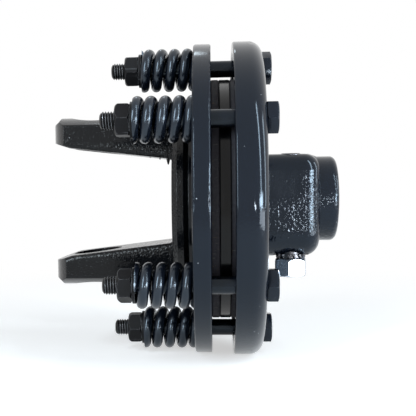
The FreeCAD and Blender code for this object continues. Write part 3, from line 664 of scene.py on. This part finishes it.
def gloss_paint(name, colour, painted_reflection_tint, roughness, depth, grain, coarse, pits, shine, wear):
    """Gloss paint over a skin, whose depth in millimetres is a number or a function that gives it."""
    steel = bpy.context.scene.clutch_paint.bare_steel
    recipe, shader = new_material(name)
    place = recipe.place()
    skin = recipe.shared("rough_skin", place=place, grain=grain, coarse=coarse, pits=pits)
    edge = recipe.shared("edge_wear", place=place, width=0.0005, breakup=wear)
    marks = recipe.shared("handling_marks", place=place, amount=0.55)
    thin = recipe.mixed(recipe.times(edge["Mask"], 0.35), rgba(colour), rgba(steel, 0.35))
    dusty = recipe.mixed(recipe.times(marks["Speck"], 0.8), thin, DUST)
    smeared = recipe.times(marks["Smudge"], 0.10)
    rough = recipe.plus(roughness, smeared, recipe.times(marks["Speck"], 0.4), clamp=True)
    height = recipe.times(skin["Height"], depth(recipe, place) if callable(depth) else depth)
    # The specular tint is painted reflection: blue on the castings and bolts in place of a mirrored blue sky,
    # near grey on the forging
    recipe.feed(
        shader, base_color=dusty, roughness=rough, specular_ior_level=shine, specular_tint=rgba(painted_reflection_tint),
        normal=recipe.relief(height, MM, edge["Normal"]),
    )


def spring_paint(name, colour, painted_reflection_tint):
    """Thick dipped enamel on wire: smooth, with dust."""
    recipe, shader = new_material(name)
    marks = recipe.shared("handling_marks", place=recipe.place(), amount=0.5)
    tone = recipe.mixed(recipe.times(marks["Speck"], 0.5), rgba(colour), DUST_ON_WIRE)
    smeared = recipe.times(marks["Smudge"], 0.03)
    rough = recipe.plus(0.22, smeared, recipe.times(marks["Speck"], 0.4), clamp=True)
    # The specular tint paints the springs' reflections blue, in place of a mirrored blue sky
    recipe.feed(shader, base_color=tone, roughness=rough, specular_ior_level=0.60, specular_tint=rgba(painted_reflection_tint))


def housing_relief(recipe, place):
    """Depth of the housing's skin in millimetres: strong low on the hub, faint on the rim and in the bore.

    The zones are in metres, along the shaft, up from it or out from it.
    """
    axes = recipe.axes(place)
    radius = recipe.distance(axes[1], axes[2])
    on_hub = recipe.between(radius, 0.060, 0.036)
    past_cup = recipe.between(axes[0], 0.0292, 0.0305)
    outside_bore = recipe.between(radius, 0.0176, 0.0186)
    low_side = recipe.between(axes[2], 0.004, -0.003, 0.02, 1.0)
    towards_end = recipe.between(axes[0], 0.0300, 0.0520, 0.55, 1.0)
    at_collar = recipe.between(axes[0], 0.0470, 0.0540)
    below_top = recipe.between(axes[2], 0.019, 0.006, 0.12, 1.0)
    ripple = recipe.math("MAXIMUM", recipe.times(low_side, towards_end), recipe.times(at_collar, below_top))
    hub = recipe.times(on_hub, past_cup, outside_bore, ripple, HUB_SKIN)
    cup_back = recipe.between(radius, 0.090, 0.084)
    at_root = recipe.between(axes[0], 0.0340, 0.0315)
    back = recipe.times(cup_back, past_cup, at_root, CUP_BACK_SKIN)
    low = recipe.between(axes[2], 0.006, -0.004)
    on_rim = recipe.between(radius, 0.084, 0.088)
    return recipe.plus(hub, back, recipe.times(low, on_rim, LOW_RIM_SKIN), TURNED_SKIN)


def yoke_relief(recipe, place):
    """Depth of the yoke's skin in millimetres: rough on the ears' inner edges, faint on the flange."""
    axes = recipe.axes(place)
    ears = recipe.between(axes[0], -0.0120, -0.0230)
    inner = recipe.between(recipe.math("ABSOLUTE", axes[2]), 0.0360, 0.0310, *EAR_SKIN)
    return recipe.plus(recipe.times(ears, inner), FLANGE_SKIN)


def rolled_thread(name, colour, crest_colour):
    """Dark rolled thread with its crests rubbed bright."""
    recipe, shader = new_material(name)
    marks = recipe.shared("handling_marks", place=recipe.place(), amount=0.6)
    crest = recipe.node("Attribute", attribute_name="crest", attribute_type="GEOMETRY").outputs["Fac"]
    clean = recipe.math("SUBTRACT", 1.0, marks["Smudge"])
    bright = recipe.times(recipe.between(crest, 0.82, 1.0), clean)
    recipe.feed(
        shader, base_color=recipe.mixed(bright, rgba(colour), rgba(crest_colour, 0.6)), metallic=bright,
        roughness=recipe.plus(0.26, recipe.times(marks["Smudge"], 0.2)), specular_ior_level=0.3,
    )


def plated_metal(name, colour, roughness, metal, grain, wear_colour=None, depth=0.000008):
    """Plated or blackened metal, with rubbed edges where a wear colour is given."""
    recipe, shader = new_material(name)
    place = recipe.place()
    skin = recipe.shared("rough_skin", place=place, grain=grain, coarse=0.3, pits=0.15)
    marks = recipe.shared("handling_marks", place=place, amount=0.7)
    tone = recipe.mixed(recipe.times(marks["Smudge"], 0.35), rgba(colour), rgba(colour, 0.7))
    if wear_colour is not None:
        edge = recipe.shared("edge_wear", place=place, width=0.0004, breakup=0.62)
        scratched = recipe.times(marks["Scratch"], 0.4)
        rubbed = recipe.math("MAXIMUM", recipe.times(edge["Mask"], 0.6), scratched)
        tone = recipe.mixed(rubbed, tone, rgba(wear_colour))
        metal = recipe.plus(metal, rubbed, clamp=True)
    recipe.feed(
        shader, base_color=tone, metallic=metal, specular_ior_level=0.16,
        roughness=recipe.plus(roughness, recipe.times(marks["Smudge"], 0.15), clamp=True),
        normal=recipe.relief(skin["Height"], depth, recipe.flat_normal()),
    )


def pressed_lining(name, colour):
    """Pressed friction material: dark matrix with chips of brass and pale fibre."""
    recipe, shader = new_material(name)
    place = recipe.place()
    base = recipe.noise(place, 700.0, 5.0, 0.7)
    fewer = recipe.between(recipe.noise(place, 240.0, 2.0), 0.56, 0.62)
    chips = recipe.times(recipe.between(recipe.cells(place, 900.0), 0.16, 0.10), fewer)
    fibres = recipe.between(recipe.streaks(place, (0.7, 0.2, 0.9), (260, 260, 2200), 0.5), 0.66, 0.72)
    tone = recipe.mixed(base, rgba(colour, 0.6), rgba(colour, 1.6))
    tone = recipe.mixed(chips, tone, BRASS_CHIP)
    tone = recipe.mixed(recipe.times(fibres, 0.35), tone, PALE_FIBRE)
    height = recipe.plus(base, recipe.times(fibres, 0.5))
    recipe.feed(
        shader, base_color=tone, metallic=recipe.times(chips, 0.8),
        roughness=recipe.between(base, 0.2, 0.8, 0.85, 0.6),
        normal=recipe.relief(height, 0.00008, recipe.flat_normal()),
    )


def turned_metal(name, colour, roughness, metal, depth):
    """Metal or painted metal with the fine rings of the lathe."""
    look = bpy.context.scene.clutch_paint
    recipe, shader = new_material(name)
    place = recipe.place()
    rings = recipe.shared("turning_marks", place=place, feed=1500.0)
    edge = recipe.shared("edge_wear", place=place, width=0.0009, breakup=0.5)
    marks = recipe.shared("handling_marks", place=place, amount=0.6)
    skin = recipe.shared("rough_skin", place=place, grain=520.0, coarse=0.6, pits=0.1)
    tone = recipe.mixed(recipe.times(edge["Mask"], 0.5), rgba(colour), rgba(look.bare_steel, 0.5))
    tone = recipe.mixed(recipe.times(marks["Speck"], 0.8), tone, DUST)
    height = recipe.plus(recipe.times(rings["Height"], 0.35), skin["Height"])
    # The specular tint paints the plate's reflections blue, in place of a mirrored blue sky
    recipe.feed(
        shader, base_color=tone, metallic=metal, specular_ior_level=0.32, specular_tint=rgba(look.painted_reflection_tint),
        roughness=recipe.plus(roughness, recipe.times(marks["Smudge"], 0.06), clamp=True),
        normal=recipe.relief(height, depth, edge["Normal"]),
    )


def make_finishes():
    """Make the shared effects, and every paint and metal of the clutch."""
    look = bpy.context.scene.clutch_paint
    make_rough_skin()
    make_edge_wear()
    make_handling_marks()
    make_turning_marks()
    gloss_paint(
        "gloss_on_casting", look.enamel, look.painted_reflection_tint, look.gloss, housing_relief,
        grain=640.0, coarse=0.8, pits=0.25, shine=0.34, wear=0.55,
    )
    gloss_paint(
        "gloss_on_forging", look.forged, look.forged_sheen, 0.15, yoke_relief,
        grain=820.0, coarse=0.8, pits=0.8, shine=0.26, wear=0.5,
    )
    spring_paint("enamel_on_springs", look.enamel, look.painted_reflection_tint)
    turned_metal("paint_on_turned_plate", look.enamel, 0.14, 0.0, 0.000004)
    gloss_paint(
        "gloss_on_bolts", look.enamel, look.painted_reflection_tint, 0.16, BOLT_SKIN,
        grain=640.0, coarse=0.5, pits=0.1, shine=0.34, wear=0.5,
    )
    plated_metal("black_oxide_steel", look.oxide, 0.40, 0.0, 1100.0, look.bare_steel)
    plated_metal("ground_dark_steel", GROUND_STEEL, 0.30, 0.9, 900.0, look.bare_steel)
    rolled_thread("rolled_thread_steel", look.oxide, look.bare_steel)
    plated_metal("bright_zinc", look.zinc, 0.22, 1.0, 700.0, depth=0.000004)
    pressed_lining("pressed_lining", look.lining)
    turned_metal("turned_bronze", look.bronze, 0.3, 1.0, 0.00002)


def finish_of(name):
    """A finish by its name. All are made the first time that one is asked for."""
    if name not in bpy.data.materials:
        make_finishes()
    return bpy.data.materials[name]


# Pieces


class CLUTCH_OT_castings(Operator):
    """Paint the housing, the yoke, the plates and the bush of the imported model"""

    bl_idname = "clutch.castings"
    bl_label = "Paint the castings and plates"

    def execute(self, context):
        for name, finish in (
            ("hub_housing", "gloss_on_casting"), ("flange_yoke", "gloss_on_forging"),
            ("pressure_plate", "paint_on_turned_plate"), ("lining_left", "pressed_lining"),
            ("lining_right", "pressed_lining"), ("centre_bush", "turned_bronze"),
        ):
            repaint(name, finish)
        return {"FINISHED"}


class CLUTCH_OT_springs(Operator):
    """Wind the six left-hand springs, closed and ground at both ends"""

    bl_idname = "clutch.springs"
    bl_label = "Wind the springs"

    def execute(self, context):
        seat, far = SPRING_SEAT, SPRING_END
        for number, start in zip(BOLT_NUMBERS, SPRING_STARTS):
            spring = self.wind(f"coil_spring_{number}", context.scene.clutch_spring, seat, far, start)
            spring.data.transform(bolt_place(number))
            finish_piece(spring, "housing", "spring_enamel", "enamel_on_springs", f"spring_{number}")
            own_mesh(spring)
        return {"FINISHED"}

    def wind(self, name, sizes, seat, far, start):
        """One spring about the X axis: a bevelled curve made a mesh, then cut flat at both ends."""
        wire, pitch, closed = sizes.wire / MM, sizes.pitch / MM, sizes.closed_turns
        middle = sizes.outer_radius / MM - wire / 2
        tip = -wire * WIRE_START
        open_turns = ((far - seat) - 2 * (tip + closed * wire)) / pitch
        turns = open_turns + 2 * closed
        count = round(turns * SPRING_POINTS_PER_TURN)
        bpy.ops.curve.primitive_nurbs_path_add(location=(0, 0, 0))
        path = bpy.context.object
        curve = path.data
        curve.splines.clear()
        spline = curve.splines.new("NURBS")
        spline.points.add(count)
        for step, point in enumerate(spline.points):
            turn = turns * step / count
            rise = min(turn, closed) * wire + min(max(turn - closed, 0), open_turns) * pitch
            rise += max(turn - closed - open_turns, 0) * wire
            around = math.radians(start) - math.tau * turn
            station = (seat + tip + rise) * MM
            point.co = (station, -math.sin(around) * middle * MM, math.cos(around) * middle * MM, 1)
        spline.order_u = 4
        spline.use_endpoint_u = True
        curve.resolution_u = 4
        curve.bevel_depth = sizes.wire / 2
        curve.bevel_resolution = 14
        curve.use_fill_caps = True
        take(path)
        bpy.ops.object.convert(target="MESH")
        spring = settle(named(bpy.context.object, name))
        cut_ends(spring, seat, far)
        return done(spring, 40)


class CLUTCH_OT_clamp_bolts(Operator):
    """Make the clamp bolts, with real threads where they stand out of their nuts"""

    bl_idname = "clutch.clamp_bolts"
    bl_label = "Make the clamp bolts"

    def execute(self, context):
        sizes = context.scene.clutch_fastener
        radius, depth = sizes.shank_radius / MM, sizes.thread_depth / MM
        tip, top = BOLT_LOW.x, BOLT_HIGH.x
        reach, seat = tip + sizes.thread_reach / MM, top - sizes.head_height / MM
        screw = thread("bolt_thread", tip, reach, radius, sizes.thread_pitch / MM, depth)
        along = [(tip + 2.0, radius), (reach - 1.5, radius), (reach, radius - 0.6), (reach, 0)]
        combine(screw, lathe("bolt_cover", outline((tip, BOLT_POINT)) + along, 40), "INTERSECT")
        mark_crests(done(screw), radius - depth, radius)
        neck, end = reach - 0.4, seat + 0.3
        along = [(neck, 0), (neck, 4.1), (reach + 0.7, radius), (end, radius), (end, 0)]
        shank = lathe("bolt_shank", along, 48)
        head = hexagon("bolt_head", seat, top, sizes.across_flats / MM)
        combine(head, lathe("head_cover", outline((seat, HEAD_FOOT), (top, HEAD_TOP))), "INTERSECT")
        softened(head, sizes.corner_round)
        for number, turn in zip(BOLT_NUMBERS, HEAD_TURNS):
            bolt = copied(head, f"bolt_head_{number}", bolt_place(number, turn))
            finish_piece(bolt, "housing", "black_fastener", "gloss_on_bolts", f"clamp_bolt_{number}")
            rod = copied(shank, f"bolt_shank_{number}", bolt_place(number))
            finish_piece(rod, "housing", "black_fastener", "gloss_on_bolts")
            screwed = copied(screw, f"bolt_thread_{number}", bolt_place(number, THREAD_TURN * number))
            finish_piece(screwed, "housing", "black_fastener", "rolled_thread_steel")
        for master in (screw, shank, head):
            bpy.data.objects.remove(master)
        return {"FINISHED"}


class CLUTCH_OT_adjusting_nuts(Operator):
    """Make the nuts that load the springs"""

    bl_idname = "clutch.adjusting_nuts"
    bl_label = "Make the adjusting nuts"

    def execute(self, context):
        sizes = context.scene.clutch_fastener
        flats, bore = sizes.across_flats / MM, sizes.shank_radius / MM
        nut = make_nut("nut", NUT_LOW.x, NUT_HIGH.x, flats, bore, sizes.corner_round)
        for number, turn in zip(BOLT_NUMBERS, NUT_TURNS):
            twin = copied(nut, f"hex_nut_{number}", bolt_place(number, turn))
            finish_piece(twin, "housing", "black_fastener", "black_oxide_steel", f"adjusting_nut_{number}")
            repaint(f"spring_washer_{number}", "black_oxide_steel")
        bpy.data.objects.remove(nut)
        return {"FINISHED"}


class CLUTCH_OT_cross_pin(Operator):
    """Make the tapered cross pin with its toothed washer and plated nut"""

    bl_idname = "clutch.cross_pin"
    bl_label = "Make the cross pin"

    def execute(self, context):
        middle = (PIN_WASHER_LOW + PIN_WASHER_HIGH) / 2
        down = Matrix.Translation((middle.x * MM, middle.y * MM, 0)) @ Matrix.Rotation(math.pi / 2, 4, "Y")
        top, seat, foot = -PIN_HIGH.z, -PIN_WASHER_HIGH.z, -PIN_LOW.z
        body = lathe("pin_body", outline((top, PIN_TOP), (seat, PIN_SEAT)))
        screw = thread("pin_thread", seat, foot, PIN_THREAD_RADIUS, PIN_THREAD_PITCH, PIN_THREAD_DEPTH)
        cover = lathe("pin_cover", [(seat, 0), (seat, PIN_THREAD_RADIUS)] + outline((foot, PIN_FOOT)), 40)
        combine(screw, cover, "INTERSECT")
        pin = joined([body, done(screw)], "cross_pin")
        pin.data.transform(down)
        finish_piece(pin, "housing", "dark_steel", "ground_dark_steel", "taper_pin")
        washer = self.toothed_washer(seat, -PIN_WASHER_LOW.z)
        washer.data.transform(down)
        finish_piece(washer, "housing", "dark_steel", "ground_dark_steel", "taper_pin_washer")
        flats = context.scene.clutch_fastener.across_flats / MM
        left, right = -PIN_NUT_HIGH.z, -PIN_NUT_LOW.z
        nut = make_nut("plated_nut", left, right, flats, PIN_THREAD_RADIUS, PLATED_NUT_ROUND * MM)
        nut.data.transform(down @ Matrix.Rotation(math.radians(PLATED_NUT_TURN), 4, "X"))
        finish_piece(nut, "housing", "zinc_plate", "bright_zinc", "taper_pin_nut")
        return {"FINISHED"}

    def toothed_washer(self, left, right):
        """A ring about the X axis with twisted teeth round it."""
        ring = lathe("tooth_ring", [
            (left, RING_BORE), (left, RING_FACE), (left + 0.25, RING_RIM), (right - 0.25, RING_RIM),
            (right, RING_FACE), (right, RING_BORE), (left, RING_BORE),
        ])
        middle = (left + right) / 2
        centre, end = (middle * MM, 0, TOOTH_MIDDLE * MM), (middle * MM, 0, TOOTH_TIP * MM)
        bpy.ops.mesh.primitive_cube_add(size=MM, location=centre)
        tooth = settle(named(bpy.context.object, "tooth"))
        edit(tooth, "FACE")
        pick(tooth, lambda vertex: True)
        size = (right - left - 0.2, TOOTH_WIDTH, TOOTH_LENGTH)
        bpy.ops.transform.resize(value=size, center_override=centre)
        pick(tooth, lambda vertex: vertex.co.z > TOOTH_MIDDLE * MM)
        bpy.ops.transform.resize(value=(1, TOOTH_TAPER, 1), center_override=end)
        settle(tooth)
        for vertex in tooth.data.vertices:
            lean = (vertex.co.x / MM - middle) * TOOTH_TWIST
            vertex.co.y += lean * MM * max(vertex.co.z / MM - TWIST_START, 0)
        use(tooth, "BEVEL", width=TOOTH_ROUND * MM, segments=2)
        pieces = [ring]
        for number in range(TOOTH_COUNT):
            turn = Matrix.Rotation(math.tau * number / TOOTH_COUNT, 4, "X")
            pieces.append(copied(tooth, f"tooth_{number}", turn))
        bpy.data.objects.remove(tooth)
        return done(joined(pieces, "tooth_washer"))


class CLUTCH_OT_paint_runs(Operator):
    """Add the drips that dipping in paint left under the yoke"""

    bl_idname = "clutch.paint_runs"
    bl_label = "Add the paint runs"

    def execute(self, context):
        piece = done(joined([self.drip(*run) for run in DRIPS], "yoke_drips"), 60)
        finish_piece(piece, "yoke", "forged_paint", "gloss_on_forging")
        return {"FINISHED"}

    def drip(self, place, radius, fall):
        """A hanging drop of paint: a sphere with its lower half drawn down to a blunt tip."""
        centre = Vector(place) * MM
        bpy.ops.mesh.primitive_uv_sphere_add(segments=20, ring_count=12, radius=radius * MM, location=centre)
        drop = settle(named(bpy.context.object, "drip"))
        edit(drop)
        for part, squeeze in ((0.0, 0.92), (0.35, 0.8), (0.7, 0.7)):
            pick(drop, lambda vertex: vertex.co.z < centre.z - part * radius * MM)
            bpy.ops.transform.translate(value=(0, 0, -fall / 3 * MM))
            bpy.ops.transform.resize(value=(squeeze, squeeze, 1), center_override=centre)
        leave_edit_mode()
        return use(drop, "SUBSURF", levels=1, render_levels=1)


# Stage


class CLUTCH_OT_stage(Operator):
    """Set the camera, the pale floor and the soft lamps"""

    bl_idname = "clutch.stage"
    bl_label = "Set the stage"

    def execute(self, context):
        look = context.scene.clutch_studio
        context.scene.view_settings.view_transform = "Standard"
        self.set_camera(context.scene, look.lens)
        self.lay_floor()
        self.light_world(context.scene, look.fill)
        for name, setting, size, distance, right, height, colour in LAMPS:
            self.hang_lamp(name, getattr(look, setting), size, distance, right, height, colour)
        return {"FINISHED"}

    def set_camera(self, scene, lens):
        """A camera in front of the clutch, level with its shaft, as the photograph was taken."""
        yaw, pitch, roll = (math.radians(value) for value in CAMERA_TURN)
        side = Vector((math.cos(yaw), math.sin(yaw), 0))
        ahead = Vector((-math.sin(yaw) * math.cos(pitch), math.cos(yaw) * math.cos(pitch), math.sin(pitch)))
        above = side.cross(ahead)
        right = side * math.cos(roll) + above * math.sin(roll)
        upward = above * math.cos(roll) - side * math.sin(roll)
        bpy.ops.object.camera_add()
        camera = bpy.context.object
        camera.name = "studio_camera"
        turn = Matrix((right, upward, -ahead)).transposed().to_4x4()
        camera.matrix_world = Matrix.Translation(Vector(CAMERA_PLACE) * MM) @ turn
        camera.data.sensor_width = FRAME_WIDTH
        camera.data.lens = lens
        camera.data.shift_x, camera.data.shift_y = CAMERA_SHIFT
        camera.data.clip_start = 0.01
        scene.camera = camera

    def lay_floor(self):
        """A pale floor that the clutch stands on: it keeps the shadow and fades to white further out."""
        bpy.ops.mesh.primitive_circle_add(
            vertices=96, radius=FLOOR_RADIUS, fill_type="NGON", location=(0, 0, LOWEST * MM - FLOOR_GAP)
        )
        floor = settle(named(bpy.context.object, "floor"))
        recipe, shader = new_material("pale_floor")
        recipe.feed(shader, base_color=(0.8, 0.8, 0.8, 1), roughness=0.9, specular_ior_level=0.0)
        seen = recipe.seen()
        axes = recipe.axes(recipe.place())
        far = recipe.between(recipe.distance(axes[0], axes[1]), *FLOOR_FADE)
        glow = recipe.node("Emission", {"Color": WHITE, "Strength": 1.0})
        lift = recipe.node("Emission", {"Color": WHITE, "Strength": recipe.times(seen, FLOOR_LIFT)})
        near = recipe.node("AddShader", {0: shader.outputs[0], 1: lift.outputs[0]})
        blend = recipe.node("MixShader", {0: recipe.times(far, seen), 1: near.outputs[0], 2: glow.outputs[0]})
        output = next(node for node in recipe.tree.nodes if node.type == "OUTPUT_MATERIAL")
        recipe.put(output.inputs["Surface"], blend.outputs[0])
        floor.data.materials.append(bpy.data.materials["pale_floor"])

    def light_world(self, scene, fill):
        """White to the camera and in reflections, and a soft fill on everything else."""
        world = bpy.data.worlds.new("studio")
        world.use_nodes = True
        world.node_tree.nodes.clear()
        recipe = Recipe(world.node_tree)
        level = recipe.between(recipe.seen(), 0.0, 1.0, fill, 1.0)
        background = recipe.node("Background", {"Color": WHITE, "Strength": level})
        recipe.node("OutputWorld", {"Surface": background.outputs[0]})
        scene.world = world

    def hang_lamp(self, name, level, size, distance, right, height, colour):
        """A soft lamp that faces the clutch, placed by its angles right of and above the camera."""
        right, height = math.radians(right), math.radians(height)
        out = math.cos(height) * distance
        place = Vector((math.sin(right) * out, -math.cos(right) * out, math.sin(height) * distance))
        bpy.ops.object.light_add(type="AREA", location=place)
        lamp = bpy.context.object
        lamp.name = name
        lamp.data.shape = "RECTANGLE"
        lamp.data.size, lamp.data.size_y = size
        # At four times its area in watts, a lamp looks white
        lamp.data.energy = 4 * size[0] * size[1] * level
        lamp.data.color = colour
        lamp.visible_camera = False
        lamp.rotation_euler = (-place).to_track_quat("-Z", "Y").to_euler()


class CLUTCH_PT_maker(Panel):
    """Sizes, finishes and steps of the clutch."""

    bl_idname = "CLUTCH_PT_maker"
    bl_label = "Friction clutch"
    bl_space_type = "VIEW_3D"
    bl_region_type = "UI"
    bl_category = "Clutch"

    def draw(self, context):
        scene = context.scene
        for title, group in (
            ("Fasteners", scene.clutch_fastener), ("Springs", scene.clutch_spring),
            ("Finishes", scene.clutch_paint), ("Studio", scene.clutch_studio),
        ):
            box = self.layout.box()
            box.label(text=title)
            for key in group.bl_rna.properties.keys():
                if key not in ("rna_type", "name"):
                    box.prop(group, key)
        for operator in STEPS:
            self.layout.operator(operator.bl_idname)


STEPS = (
    CLUTCH_OT_castings, CLUTCH_OT_springs, CLUTCH_OT_clamp_bolts, CLUTCH_OT_adjusting_nuts,
    CLUTCH_OT_cross_pin, CLUTCH_OT_paint_runs, CLUTCH_OT_stage,
)
GROUPS = {
    "clutch_fastener": ClutchFastenerSizes,
    "clutch_spring": ClutchSpringSizes,
    "clutch_paint": ClutchPaintLook,
    "clutch_studio": ClutchStudioLook,
}


def register():
    """Register the classes, and give the scene its sizes and looks."""
    for name, group in GROUPS.items():
        bpy.utils.register_class(group)
        setattr(bpy.types.Scene, name, PointerProperty(type=group))
    for item in STEPS + (CLUTCH_PT_maker,):
        bpy.utils.register_class(item)


def unregister():
    """Take back what register gave."""
    for item in reversed(STEPS + (CLUTCH_PT_maker,)):
        bpy.utils.unregister_class(item)
    for name, group in GROUPS.items():
        delattr(bpy.types.Scene, name)
        bpy.utils.unregister_class(group)


def main():
    """Make the whole clutch."""
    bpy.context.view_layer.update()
    register()
    bpy.ops.clutch.castings()
    bpy.ops.clutch.springs()
    bpy.ops.clutch.clamp_bolts()
    bpy.ops.clutch.adjusting_nuts()
    bpy.ops.clutch.cross_pin()
    bpy.ops.clutch.paint_runs()
    bpy.ops.clutch.stage()


if __name__ == "__main__":
    main()
